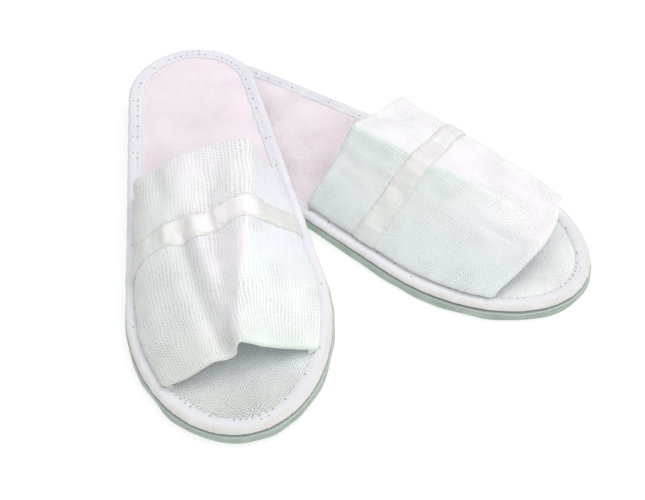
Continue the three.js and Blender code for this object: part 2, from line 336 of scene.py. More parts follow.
def tube(points, radius, sides=6, closed=False):
    """A thread along points."""
    points = np.asarray(points, float)
    if closed:
        ahead = np.roll(points, -1, 0) - np.roll(points, 1, 0)
    else:
        ahead = np.gradient(points, axis=0)
    ahead /= np.linalg.norm(ahead, axis=1, keepdims=True)
    side = np.cross(ahead, [0.0, 0.0, 1.0])
    side /= np.maximum(np.linalg.norm(side, axis=1, keepdims=True), 1e-6)
    top = np.cross(side, ahead)
    turn = np.linspace(0, 2 * math.pi, sides, endpoint=False)
    ring_points = points[:, None] + radius * (
        np.cos(turn)[None, :, None] * side[:, None] + np.sin(turn)[None, :, None] * top[:, None]
    )
    length = arc_length(points)
    if closed:
        length = np.append(length, length[-1] + np.linalg.norm(points[0] - points[-1]))
    around = np.linspace(0, 2 * math.pi * radius, sides + 1)
    layout = np.stack(np.meshgrid(length, around, indexing="ij"), -1)
    solid = Solid()
    ids = solid.grid(ring_points, wrap=(closed, True), cloth=layout)
    if not closed:
        for row in (ids[0], ids[-1]):
            solid.polygons([row.tolist()], cloth=np.zeros((1, sides, 2)))
    return solid


# ---- Slippers ----
class Slipper:
    def __init__(self, side):
        self.side = side
        joint = next(j for j in frame["joints"] if j["name"] == f"{side}_toe_flex")
        across = -np.array(joint["axis"], float)
        faces = [p for p in frame["nodes"][f"{side}_outsole_rear"].data.polygons if p.normal.z > 0.9]
        up = sum((np.array(p.normal) * p.area for p in faces), np.zeros(3))
        up -= across * (up @ across)
        up /= np.linalg.norm(up)
        self.axes = np.stack([np.cross(across, up), across, up])
        self.heel = np.array(joint["pos_m"]) - MM * (np.array([FLEX_LINE, 0, HINGE_HEIGHT]) @ self.axes)

    def to_row(self, points):
        return self.heel + MM * (points @ self.axes)

    def point(self, along):
        return self.to_row(np.array([along, 0.0, HINGE_HEIGHT]))

    def dress(self, solid, name, finish, slot, nodes, bends=True):
        """Makes a piece of a solid. Its name and its CAD nodes are given without the slipper's side."""
        piece = solid.object(f"{self.side}_{name}", self)
        piece.data.materials.append(FINISHES[finish])
        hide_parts(*(f"{self.side}_{n}" for n in nodes))
        if bends:
            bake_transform(piece)
        else:
            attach(piece, f"{self.side}_rear")
        return piece


class Upper:
    """The upper's outer surface: u from its rear edge to its front edge, v over the foot."""

    def __init__(self, side, seed):
        self.side, self.seed = side, seed
        self.ribs = [self.rib(*r) for r in UPPERS[side]]
        self.over = arc_length(spaced(self.ribs[1], np.linspace(0, 1, 200)))[-1]
        self.moved = None

    @staticmethod
    def rib(near, folds, far):
        def foot(along, sign, inset, height):
            return (along, sign * (half_width(np.array(float(along))) - inset), height)

        return np.array(
            [foot(near, -1, SEAT, INSOLE_TOP), foot(near, -1, *BULGE), *folds,
             foot(far, 1, *BULGE), foot(far, 1, SEAT, INSOLE_TOP)]
        )

    def base(self, u, v):
        """Points at u (rows, columns) and v (columns)."""
        weights = ((1 - u) * (1 - 2 * u), 4 * u * (1 - u), u * (2 * u - 1))
        point = sum(w[..., None] * spaced(r, v)[None] for w, r in zip(weights, self.ribs))
        side = np.where(v < 0.5, -1, 1)
        foot = sum(
            w[..., None] * np.where((v < 0.5)[:, None], r[0], r[-1])[None]
            for w, r in zip(weights, self.ribs)
        )
        fade = np.maximum(1 - np.minimum(v, 1 - v) / FOLLOW_ZONE, 0)
        point[..., 1] += fade * (side * (half_width(foot[..., 0]) - SEAT) - foot[..., 1])
        return point

    def normal(self, u, v):
        step = 0.006
        along = self.base(np.clip(u + step, 0, 1), v) - self.base(np.clip(u - step, 0, 1), v)
        over = self.base(u, np.clip(v + step, 0, 1)) - self.base(u, np.clip(v - step, 0, 1))
        out = np.cross(along, over)
        out /= np.linalg.norm(out, axis=-1, keepdims=True)
        level = np.maximum(1 - np.minimum(v, 1 - v) / LEVEL_ZONE, 0)[None, :, None]
        sideways = np.zeros_like(out)
        sideways[..., 1] = np.where(v < 0.5, -1, 1)
        out = out * (1 - level) + sideways * level
        return out / np.linalg.norm(out, axis=-1, keepdims=True)

    def seams(self, v):
        at, rear, front = RIBBONS[self.side]
        return np.interp(v, at, rear), np.interp(v, at, front)

    def slack(self, v):
        """The ripple of the ribbon and of the fabric under it, in mm."""
        middle, reach, crest, pitch, height = RIPPLES[self.side]
        return height * bell(v - middle, reach) * np.cos(2 * math.pi * (v - crest) / pitch)

    def relief(self, u, v):
        """How far the fabric stands out from the smooth surface."""
        x, y = u * UPPER_LENGTH, np.broadcast_to(v * self.over, u.shape)
        seed = self.seed
        relief = 0.32 * waves(seed, 38, x, y) + 0.12 * waves(seed + 1, 14, x, y)
        for path, height, width, sharp in FOLDS[self.side]:
            at_u, at_v = np.array(path).T
            off = y - np.interp(u, at_u, at_v) * self.over + 0.5 * waves(seed + 2, 30, x)
            ends = eased((u - at_u[0]) / 0.12) * eased((at_u[-1] - u) / 0.12)
            profile = np.exp(-(np.hypot(off, 0.6) - 0.6) / width) if sharp else bell(off, width)
            relief = relief + height * profile * ends
        rear, front = self.seams(v)
        slack = self.slack(v) * bell((u - (rear + front) / 2) * UPPER_LENGTH, 8.5)
        relief = relief + 0.45 * slack
        for k, seam in enumerate((rear, front)):
            off = x - (seam * UPPER_LENGTH)[None]
            gather = np.sin(2 * math.pi * y / 5.3 + 1.6 * waves(seed + 3 + k, 15, y))
            relief = relief - 0.4 * bell(off, 1.5) + 0.12 * gather * np.exp(-np.abs(off) / 4.0)
        for edge in (0, UPPER_LENGTH):
            from_edge = np.abs(x - edge)
            relief = relief - 0.3 * bell(from_edge - 7.5, 2.2) + 0.35 * bell(from_edge - 2.0, 3.0)
        from_foot = np.minimum(y, self.over - y)
        pleat = np.sin(2 * math.pi * x / 8.5 + 2.0 * waves(seed + 6, 30, x))
        relief = relief + 0.12 * pleat * np.exp(-from_foot / 7.0)
        return relief * eased(from_foot / 8.0)

    def layer(self, u, v, depth):
        """Points `depth` under the fabric's outside."""
        place = self.base(u, v) + self.normal(u, v) * (self.relief(u, v) - depth)[..., None]
        return place if self.moved is None else place + self.settling(u, v)

    def settling(self, u, v):
        """The simulated movement at u and v, between the points of the simulated sheet."""
        rows, columns = self.moved.shape[:2]
        x, y = np.clip(u, 0, 1) * (rows - 1), np.broadcast_to(np.clip(v, 0, 1) * (columns - 1), u.shape)
        i, j = np.minimum(x.astype(int), rows - 2), np.minimum(y.astype(int), columns - 2)
        a, b = eased(x - i)[..., None], eased(y - j)[..., None]
        m = self.moved
        low = m[i, j] * (1 - a) + m[i + 1, j] * a
        return low * (1 - b) + (m[i, j + 1] * (1 - a) + m[i + 1, j + 1] * a) * b

    def held(self, u, v):
        """How firmly each point keeps its place: sewn sides, crests, and the ribbon's seams."""
        y = np.broadcast_to(v * self.over, u.shape)
        hold = np.where((v < 0.04) | (v > 0.96), 1.0, 0.22)[None] + 0 * u
        for path, *_ in FOLDS[self.side]:
            at_u, at_v = np.array(path).T
            off = y - np.interp(u, at_u, at_v) * self.over
            inside = (u > at_u[0]) & (u < at_u[-1])
            hold = np.maximum(hold, np.where(inside, 0.75 * bell(off, 5.0), 0))
        for seam in self.seams(v):
            hold = np.maximum(hold, 0.6 * bell((u - seam) * UPPER_LENGTH, 2.5))
        return np.clip(hold, 0, 1)


def band(points, layout):
    """A closed band: loops of points, there and back, in each column, with both ends filled."""
    solid = Solid()
    ids = solid.grid(points, wrap=(True, False), cloth=layout)
    size, k = len(points), np.arange(len(points) // 2 - 1)
    around = (k, k + 1, size - 2 - k, size - 1 - k)
    for end in (0, -1):
        corners = np.stack([layout[a, end] for a in around], 1)
        solid.polygons(np.column_stack([ids[a, end] for a in around]), cloth=corners)
    return solid


def swept(upper, face, back, steps):
    """A closed piece of the upper: two chains of (u, depth), swept over the foot."""
    loop = np.vstack([face, back[::-1]])
    v = np.linspace(0, 1, steps + 1)
    u = np.repeat(loop[:, :1], len(v), 1)
    depth = np.repeat(loop[:, 1:], len(v), 1)
    points = upper.layer(u, v, depth)
    run = arc_length(loop * [UPPER_LENGTH, 1])
    run = np.append(run, run[-1] + 1)
    layout = np.stack(np.meshgrid(run, v * upper.over, indexing="ij"), -1)
    return band(points, layout)


def hemmed(offset, across=96):
    """A chain along the outer fabric, `offset` under its outside, round both rolled edges."""
    radius = UPPER_THICKNESS / 2
    inner = radius - offset
    turn = np.radians(np.linspace(-90, 90, 11))
    roll = np.column_stack([radius - inner * np.cos(turn), radius - inner * np.sin(turn)])
    hem = np.column_stack([np.linspace(HEM * UPPER_LENGTH, radius, 8), np.full(8, radius + inner)])
    top = np.linspace(radius, UPPER_LENGTH - radius, across)
    rear = np.vstack([hem, roll[1:]])
    front = (rear * [-1, 1] + [UPPER_LENGTH, 0])[::-1]
    middle = np.column_stack([top, np.full(across, radius - inner)])[1:-1]
    return np.vstack([rear, middle, front]) / [UPPER_LENGTH, 1]


def slab_chain(start, end, depth, count=70):
    return np.column_stack([np.linspace(start, end, count), np.full(count, depth)])


# ---- Materials ----
def tint(red, green, blue):
    """A colour as the eye sees it, 0 to 255, as the renderer needs it."""
    return tuple(((c / 255 + 0.055) / 1.055) ** 2.4 for c in (red, green, blue)) + (1.0,)


class Finish:
    """A material, with short ways to add nodes."""

    def __init__(self, name, **values):
        self.material = bpy.data.materials.new(name)
        self.material.use_nodes = True
        self.tree = self.material.node_tree
        self.shader = self.tree.nodes["Principled BSDF"]
        for key, value in values.items():
            self.feed(self.shader.inputs[key.replace("_", " ")], value)

    def feed(self, socket, value):
        if isinstance(value, bpy.types.NodeSocket):
            self.tree.links.new(value, socket)
        else:
            socket.default_value = value

    def node(self, kind, inputs=(), output=0, **settings):
        node = self.tree.nodes.new("ShaderNode" + kind)
        for key, value in settings.items():
            setattr(node, key, value)
        for key, value in dict(inputs).items():
            self.feed(node.inputs[key], value)
        return node.outputs[output]

    def math(self, operation, *values):
        return self.node("Math", enumerate(values), operation=operation)

    def times(self, *values):
        return self.math("MULTIPLY", *values)

    def plus(self, *values):
        return self.math("ADD", *values)

    def minus(self, *values):
        return self.math("SUBTRACT", *values)

    def crests(self, value, pitch):
        """1 at every pitch and 0 half-way between."""
        wave = self.math("COSINE", self.times(value, 2 * math.pi / pitch))
        return self.math("MULTIPLY_ADD", wave, 0.5, 0.5)

    def parts(self, vector):
        """The three coordinates of a vector."""
        split = self.tree.nodes.new("ShaderNodeSeparateXYZ")
        self.feed(split.inputs[0], vector)
        return tuple(split.outputs)

    def paint(self, colour):
        self.feed(self.shader.inputs["Base Color"], colour)

    def cloth(self, name="cloth"):
        """The two coordinates of a flat layout, in mm."""
        return self.parts(self.node("UVMap", uv_map=name))[:2]

    def rest(self):
        return self.node("Attribute", output=1, attribute_name="rest")

    def noise(self, scale, detail=2.0, vector=None, roughness=0.5):
        return self.node(
            "TexNoise",
            {"Vector": vector or self.rest(), "Scale": scale, "Detail": detail, "Roughness": roughness},
        )

    def span(self, value, low, high, to_low=0.0, to_high=1.0, smooth=True):
        return self.node(
            "MapRange",
            {0: value, 1: low, 2: high, 3: to_low, 4: to_high},
            interpolation_type="SMOOTHSTEP" if smooth else "LINEAR",
        )

    def mix(self, share, a, b, blend="MIX"):
        node = self.tree.nodes.new("ShaderNodeMix")
        node.data_type = "RGBA"
        node.blend_type = blend
        for socket, value in ((0, share), (6, a), (7, b)):
            self.feed(node.inputs[socket], value)
        return node.outputs[2]

    def multiply(self, colour, share, shade):
        """Darkens a colour towards shade times itself."""
        return self.mix(share, colour, shade, "MULTIPLY")

    def bump(self, height, distance, strength=1.0):
        """Relief `distance` mm high."""
        normal = self.node("Bump", {"Strength": strength, "Distance": distance * MM, "Height": height})
        self.feed(self.shader.inputs["Normal"], normal)

    def loops(self, pitch, gauge, lean, wobble, turn=0.0):
        """How deep a knit is: 0 on its loops, near 1 in its holes, which differ a little."""
        flat = self.node("UVMap", uv_map="cloth")
        flat = self.node("VectorRotate", {"Vector": flat, "Angle": turn}, rotation_type="Z_AXIS")
        x, y, _ = self.parts(flat)
        drift = self.noise(0.09, 1.0)
        jitter = self.noise(0.8, 1.0)
        shift = self.times(self.minus(drift, 0.5), wobble)
        shift_fine = self.times(self.minus(jitter, 0.5), 0.5 * pitch)
        x = self.plus(self.plus(x, shift), shift_fine)
        y = self.plus(self.plus(y, shift), self.times(shift_fine, 0.4))
        fold = self.math("PINGPONG", y, gauge)
        x = self.plus(x, self.times(fold, lean))
        rows, wales = self.crests(x, pitch), self.crests(y, gauge)
        dots = self.times(self.times(rows, wales), 0.62)
        ribbed = self.span(self.noise(0.03, 2.0), 0.40, 0.60, 0.12, 0.42)
        lines = self.times(self.math("POWER", rows, 2.0), ribbed)
        cross = self.times(self.math("POWER", wales, 3.0), 0.16)
        hole = self.plus(dots, self.plus(lines, cross))
        loop = [self.math("ROUND", self.math("DIVIDE", c, d)) for c, d in ((x, pitch), (y, gauge))]
        cell = self.node("CombineXYZ", enumerate(loop))
        chance = self.node("TexWhiteNoise", {"Vector": cell}, noise_dimensions="2D")
        return self.times(hole, self.span(chance, 0.0, 1.0, 0.78, 1.08, smooth=False))


def knit_finish(name, colour, shade, pitch, gauge, lean, depth, fuzz, wobble=3.0, fade=None, turn=0.0):
    finish = Finish(name, Roughness=0.95, Sheen_Weight=0.25, Sheen_Roughness=0.5)
    hole = finish.loops(pitch, gauge, lean, wobble, turn)
    patch = finish.span(finish.noise(0.05, 2.0), 0.3, 0.7, 0.35, 1.0)
    if fade:
        patch = finish.times(patch, fade(finish))
    deep = finish.times(finish.span(hole, 0.2, 0.95), patch)
    fine = finish.noise(1.1, 3.0, roughness=0.75)
    height = finish.minus(finish.times(fine, fuzz), deep)
    finish.bump(height, depth)
    mottled = finish.multiply(colour(finish), finish.span(fine, 0.3, 0.7, 0.14, 0.0), (0.8, 0.8, 0.8, 1))
    # the holes are painted darker towards shade: painted shade in the knit's holes
    finish.paint(finish.multiply(mottled, deep, shade))
    return finish.material


def upper_colour(finish, shaded=tint(234, 235, 233)):
    """White, with painted shade: a little greyer low on the near side."""
    _, across, height = finish.parts(finish.rest())
    cloud = finish.span(finish.noise(0.03, 2.0), 0.35, 0.65)
    white = finish.mix(cloud, tint(248, 245, 247), tint(252, 250, 251))
    # painted shade: greyer low on the near side, where less light falls
    near, low = finish.span(across, 0, -26), finish.span(height, 44, 22)
    return finish.mix(finish.times(near, low), white, shaded)


def upper_colour_left(finish):
    """Painted light and shade: a cool painted shade beyond the crest, painted shade low on the near side and
    in the deep fold, and a faint greenish painted shade along the front edge.
    """
    x, y = finish.cloth()
    along = finish.minus(x, 8.5)
    crest = finish.math("MULTIPLY_ADD", along, finish.math("MULTIPLY_ADD", along, -0.00082, -0.06), 82)
    beyond = finish.span(finish.minus(y, crest), -2, 2)
    # painted cool shade on the face beyond the crest, bluish at the rear and greener to the front
    painted_cool_shade = finish.mix(finish.span(x, 60, 100), tint(242, 244, 248), tint(246, 250, 248))
    # the near side's painted shade, darker on this slipper
    colour = finish.mix(beyond, upper_colour(finish, tint(229, 231, 229)), painted_cool_shade)
    # painted shade along the deep fold
    fold = finish.math("MULTIPLY_ADD", finish.times(along, along), 0.0009, 41)
    off = finish.math("ABSOLUTE", finish.minus(y, fold))
    deep = finish.times(finish.span(off, 8, 1), finish.span(x, 38, 60))
    colour = finish.multiply(colour, deep, tint(234, 235, 235))
    # painted greenish shade along the rolled front edge
    return finish.multiply(colour, finish.span(x, 110, 130), tint(250, 253, 247))


def upper_colour_right(finish):
    """Painted greenish shade on the near side, most of all just under the first crease."""
    x, y = finish.cloth()
    # painted greenish shade in a band under the first crease, and low on the near side
    under = finish.minus(y, finish.math("MULTIPLY_ADD", x, 0.086, 52.5))
    band = finish.times(finish.span(under, 1.0, -1.5), finish.span(under, -34, -4, 0.2, 1.0))
    band = finish.times(band, finish.span(x, 112, 66))
    return finish.mix(band, upper_colour(finish, tint(233, 238, 237)), tint(233, 240, 237))


def along_sole(finish):
    return finish.parts(finish.rest())[0]


def insole_colour(finish, tip=tint(228, 229, 227)):
    """Faintly pink from the heel to the ball of the foot, a painted pink reflection; towards the toe pale and
    faintly blue, painted light in the shade under the upper's front edge, then `tip` at the toe end, where
    the darker default is painted shade.
    """
    cloud = finish.span(finish.noise(0.04, 3.0), 0.35, 0.65)
    # painted pink reflection from the heel to the ball of the foot
    pink_reflection = finish.mix(cloud, tint(246, 235, 240), tint(249, 240, 245))
    # painted light, pale and faintly blue, under the upper's front edge; the darker default tip is painted
    # shade
    toe = finish.mix(finish.span(along_sole(finish), 240, 264), tint(248, 254, 255), tip)
    return finish.mix(finish.span(along_sole(finish), 150, 230), pink_reflection, toe)


def insole_fade(*spans):
    """How strongly the knit shows along the sole: the sum of spans (from, to, before, after)."""
    def fade(finish):
        return finish.plus(*(finish.span(along_sole(finish), *s) for s in spans))

    return fade


def tape_finish():
    """Brushed tape, with needle holes along the stitch row, faint marks and painted shade, warm and darker,
    along the outer edge, and a painted highlight along the inner edge towards the toe.
    """
    tape = Finish("binding_tape", Roughness=0.85, Sheen_Weight=0.3, Sheen_Roughness=0.4)
    number, off = tape.cloth("stitch")
    nearest = tape.math("ROUND", number)
    chance = tape.node("TexWhiteNoise", {"W": nearest}, noise_dimensions="1D")
    chance_2 = tape.node("TexWhiteNoise", {"W": tape.plus(nearest, 0.37)}, noise_dimensions="1D")
    gap = tape.times(tape.minus(number, nearest), STITCH)
    holes = []
    for row, seen, size in (
        (0.0, tape.span(chance, 0.35, 0.75), 0.72),
        (-2.4, tape.span(chance_2, 0.86, 0.92, 0.0, 0.7), 0.55),
    ):
        across = tape.minus(off, row)
        away = tape.math("SQRT", tape.plus(tape.math("POWER", gap, 2.0), tape.math("POWER", across, 2.0)))
        holes.append(tape.times(tape.span(away, size, 0.15), seen))
    hole = tape.math("MAXIMUM", *holes)
    fuzz = tape.noise(1.6, 4.0, roughness=0.7)
    weave = tape.loops(0.55, 0.55, 0.0, 0.6)
    relief = tape.minus(tape.times(fuzz, 0.5), tape.times(hole, 3.0))
    tape.bump(tape.minus(relief, tape.times(weave, 0.25)), 0.16)
    along = along_sole(tape)
    cloud = tape.span(tape.noise(0.06, 3.0), 0.35, 0.65)
    heel = tape.mix(cloud, tint(231, 230, 238), tint(238, 236, 243))
    white = tape.mix(tape.span(along, 120, 220), heel, tint(233, 233, 236))
    # faint marks and painted shade: warmer and darker along the outer edge, where the tape rounds over
    rim_marks_and_shade = tape.times(tape.span(off, -3.6, -6.0), tape.span(tape.noise(0.1, 4.0), 0.3, 0.7, 0.25, 0.75))
    white = tape.multiply(white, rim_marks_and_shade, tint(243, 236, 226))
    # painted highlight: a paler inner edge from the middle of the sole to the toe
    inner = tape.times(tape.span(off, 0.5, 1.1), tape.span(along, 110, 190))
    white = tape.mix(inner, white, tint(249, 250, 252))
    tape.paint(tape.mix(hole, white, tint(70, 78, 112)))
    return tape.material


def eva_finish():
    """Fine cells, a cut side with a painted highlight on its paler lip, and a darker line along its top,
    painted shade in the glue gap under the tape.
    """
    eva = Finish("eva_foam", Roughness=0.6, Sheen_Weight=0.1)
    cells = eva.noise(2.6, 3.0, roughness=0.6)
    cut = eva.node("Mapping", {"Vector": eva.rest(), "Scale": (0.25, 0.25, 3.0)})
    sliced = eva.noise(1.0, 3.0, vector=cut)
    eva.bump(eva.plus(eva.times(cells, 0.5), sliced), 0.14)
    height = eva.parts(eva.rest())[2]
    tone = eva.mix(eva.span(eva.noise(0.12, 3.0), 0.3, 0.7), tint(158, 172, 160), tint(176, 190, 179))
    # painted highlight: a paler lip, lit from above
    tone = eva.mix(eva.span(height, OUTSOLE - 0.6, OUTSOLE - 0.3), tone, tint(196, 208, 199))
    # painted shade: the top under the tape, seen only as a dark line in the gap
    tone = eva.mix(eva.span(height, OUTSOLE - 0.1, OUTSOLE - 0.06), tone, tint(172, 184, 175))
    eva.paint(eva.multiply(tone, eva.span(cells, 0.45, 0.75, 0.0, 0.3), (0.75, 0.78, 0.76, 1)))
    return eva.material


def satin_finish(name, low, crest):
    """Fine threads across the ribbon, glossy, with painted light: `low` is painted shade on its near side,
    `crest` a painted highlight on its top.
    """
    satin = Finish(name, Roughness=0.24, Sheen_Weight=0.15, Anisotropic=0.4, Specular_IOR_Level=1.0)
    x, y = satin.cloth()
    threads = satin.math("SINE", satin.times(y, 2 * math.pi / 0.32))
    slub = satin.noise(0.9, 3.0, vector=satin.node("CombineXYZ", {0: satin.times(x, 0.15), 1: y}))
    satin.bump(satin.plus(satin.times(threads, 0.4), slub), 0.05)
    hue = satin.span(satin.noise(0.05, 2.0), 0.35, 0.65)
    pearl = satin.mix(hue, tint(233, 237, 232), tint(240, 236, 236))
    # painted shade: `low` on the near side
    pearl = satin.mix(satin.span(y, 44, 16), pearl, low)
    # painted highlight: `crest` over the top
    ridge_highlight = satin.times(satin.span(y, 46, 60), satin.span(y, 84, 76))
    pearl = satin.mix(ridge_highlight, pearl, crest)
    thin = satin.span(slub, 0.4, 0.7, 0.12, 0.0)
    satin.paint(satin.multiply(pearl, thin, (0.85, 0.85, 0.85, 1)))
    return satin.material


def thread_finish(name, colour, other):
    """Twisted plies, stained here and there."""
    thread = Finish(name, Roughness=0.5, Sheen_Weight=0.5)
    x, y = thread.cloth()
    ply = thread.math("SINE", thread.plus(thread.times(x, 9.0), thread.times(y, 5.0)))
    thread.bump(ply, 0.06)
    base = thread.mix(thread.span(thread.noise(0.35, 3.0), 0.4, 0.65), colour, other)
    thread.paint(thread.multiply(base, thread.span(ply, 0.0, -1.0, 0.0, 0.4), (0.8, 0.78, 0.7, 1)))
    return thread.material


def foam_finish():
    foam = Finish("foam", Roughness=0.9)
    pores = foam.noise(2.5, 3.0, roughness=0.65)
    foam.bump(pores, 0.2)
    foam.paint(foam.mix(foam.span(pores, 0.4, 0.6), tint(226, 226, 218), tint(246, 246, 240)))
    return foam.material


def board_finish():
    board = Finish("fibre_board", Roughness=0.9)
    along = board.node("Mapping", {"Vector": board.rest(), "Scale": (0.3, 2.5, 2.5)})
    fibres = board.noise(0.7, 5.0, vector=along)
    board.bump(fibres, 0.1)
    board.paint(board.mix(board.span(fibres, 0.35, 0.65), tint(186, 160, 122), tint(214, 192, 156)))
    return board.material


FINISHES = {
    "upper_left": knit_finish(
        "looped_knit", upper_colour_left, (0.72, 0.74, 0.75, 1),
        pitch=1.35, gauge=1.95, lean=0.3, depth=0.30, fuzz=0.6,
    ),
    "upper_right": knit_finish(
        "looped_knit_2", upper_colour_right, (0.72, 0.75, 0.76, 1),
        pitch=1.3, gauge=1.4, lean=0.25, depth=0.28, fuzz=0.6,
    ),
    "insole_left": knit_finish(
        "insole_terry", insole_colour, (0.60, 0.56, 0.56, 1),
        pitch=1.25, gauge=1.25, lean=0.4, depth=0.3, fuzz=0.6, turn=0.65,
        # the second span keeps the dark holes fainter under the upper's front edge than at the toe end:
        # painted light in the shade there
        fade=insole_fade((40, 150, 0.35, 1.0), (212, 258, 0.0, 0.9)),
    ),
    "insole_right": knit_finish(
        "insole_terry_2", lambda finish: insole_colour(finish, tint(250, 251, 250)), (0.60, 0.55, 0.56, 1),
        pitch=1.25, gauge=1.3, lean=0.4, depth=0.3, fuzz=0.6, turn=-0.3,
        # the second span thins the dark holes at the toe: painted light in the shade under the upper
        fade=insole_fade((20, 110, 0.55, 1.25), (200, 235, 0.0, -0.25)),
    ),
    "lining": knit_finish(
        "brushed_lining", upper_colour, (0.8, 0.8, 0.8, 1),
        pitch=1.0, gauge=1.0, lean=0.3, depth=0.15, fuzz=0.9,
    ),
    "tape": tape_finish(),
    "eva": eva_finish(),
    "satin_left": satin_finish("satin_left", tint(219, 222, 219), tint(255, 250, 251)),
    "satin_right": satin_finish("satin_right", tint(229, 233, 230), tint(241, 237, 239)),
    "thread": thread_finish("thread", tint(240, 240, 244), tint(214, 218, 230)),
    "cream_thread": thread_finish("cream_thread", tint(246, 244, 236), tint(226, 218, 188)),
    "foam": foam_finish(),
    "board": board_finish(),
}


# ---- Sole ----
def crown(along, across, seed):
    """Height of the insole's padding over its flat edge."""
    inset = half_width(along) - np.abs(across)
    tips = np.minimum(along, LENGTH - along)
    inset = np.minimum(inset, tips)
    swell = 0.5 * eased((inset - 8.6) / 8)
    dish = -0.35 * bell(np.hypot(along - 45, across), 22) * eased((inset - 10) / 10)
    return swell + dish + 0.12 * waves(seed, 40, along, across) * eased((inset - 9) / 6)


def build_sole(slipper, seed):
    side = slipper.side
    rough = waves(seed, 12, AROUND) * 0.1 + waves(seed + 1, 45, AROUND) * 0.15
    ragged = waves(seed + 2, 26, AROUND) * 0.26
    outer = rough * 0.7 - OUTSOLE_LIP * (0.2 + 0.8 * eased((PLACE[:, 0] - 130) / 90))
    top = OUTSOLE - 0.1
    eva = filled(
        [ring(9.0, top), ring(2.0, OUTSOLE - 0.06), ring(outer + 0.9, OUTSOLE - 0.03),
         ring(outer + 0.55, OUTSOLE - 0.05), ring(outer + 0.35, OUTSOLE - 0.12),
         ring(outer + 0.12, OUTSOLE - 0.32), ring(outer, OUTSOLE - 0.7),
         ring(outer + 0.08, OUTSOLE * 0.66), ring(outer + 0.12, OUTSOLE * 0.4),
         ring(outer + 0.05 + ragged, 0.6), ring(outer + 0.2 + ragged, 0.2),
         ring(outer + 0.6 + ragged, 0.0), ring(4.0, 0.0), ring(9.0, 0.0)],
        lambda s, n: top + 0 * s,
        lambda s, n: 0 * s,
    )
    slipper.dress(eva, "outsole_sheet", "eva", "outsole_eva", ("outsole_rear", "outsole_toe"))
    for layer, (low, high), finish, lift in (
        ("insole_board", BOARD, "board", lambda s, n: 0 * s),
        ("insole_foam", FOAM, "foam", lambda s, n: crown(s, n, seed + 3)),
    ):
        slab = filled(
            [ring(9, high), ring(1.2, high), ring(0.9, high - 0.1),
             ring(0.9, low + 0.1), ring(1.2, low), ring(9, low)],
            lambda s, n: high + lift(s, n),
            lambda s, n: low + 0 * s,
        )
        piece = slipper.dress(slab, f"{layer}_sheet", finish, layer, (f"{layer}_rear", f"{layer}_toe"))
    top, base = INSOLE_TOP, INSOLE_TOP - COVER_THICKNESS
    cover = filled(
        [ring(9.0, top + 0.03), ring(7.0, top), ring(2.0, top), ring(1.0, top - 0.1), ring(0.9, top - 0.25),
         ring(1.0, base + 0.05), ring(2.0, base), ring(9.0, base)],
        lambda s, n: top + 0.03 + crown(s, n, seed + 3),
        lambda s, n: base + crown(s, n, seed + 3),
        strips=40,
    )
    nodes = ("insole_cover_rear", "insole_cover_toe")
    piece = slipper.dress(cover, "insole_terry", f"insole_{side}", "insole_terry", nodes)
    build_binding(slipper, seed + 10)


def stitch_row(seed):
    """Stitch number and inset of the stitch line at each station, and the number of stitches."""
    count = round(PERIMETER / STITCH)
    share = AROUND / PERIMETER
    number = share * count + 0.18 * waves(seed, 30, AROUND) * np.sin(math.pi * share)
    toe = eased((PLACE[:, 0] - 190) / 50)
    wander = 0.35 * waves(seed + 1, 60, PLACE[:, 0], PLACE[:, 1])
    return number, 5.5 + 1.6 * toe + wander * (1 - 0.6 * toe), count


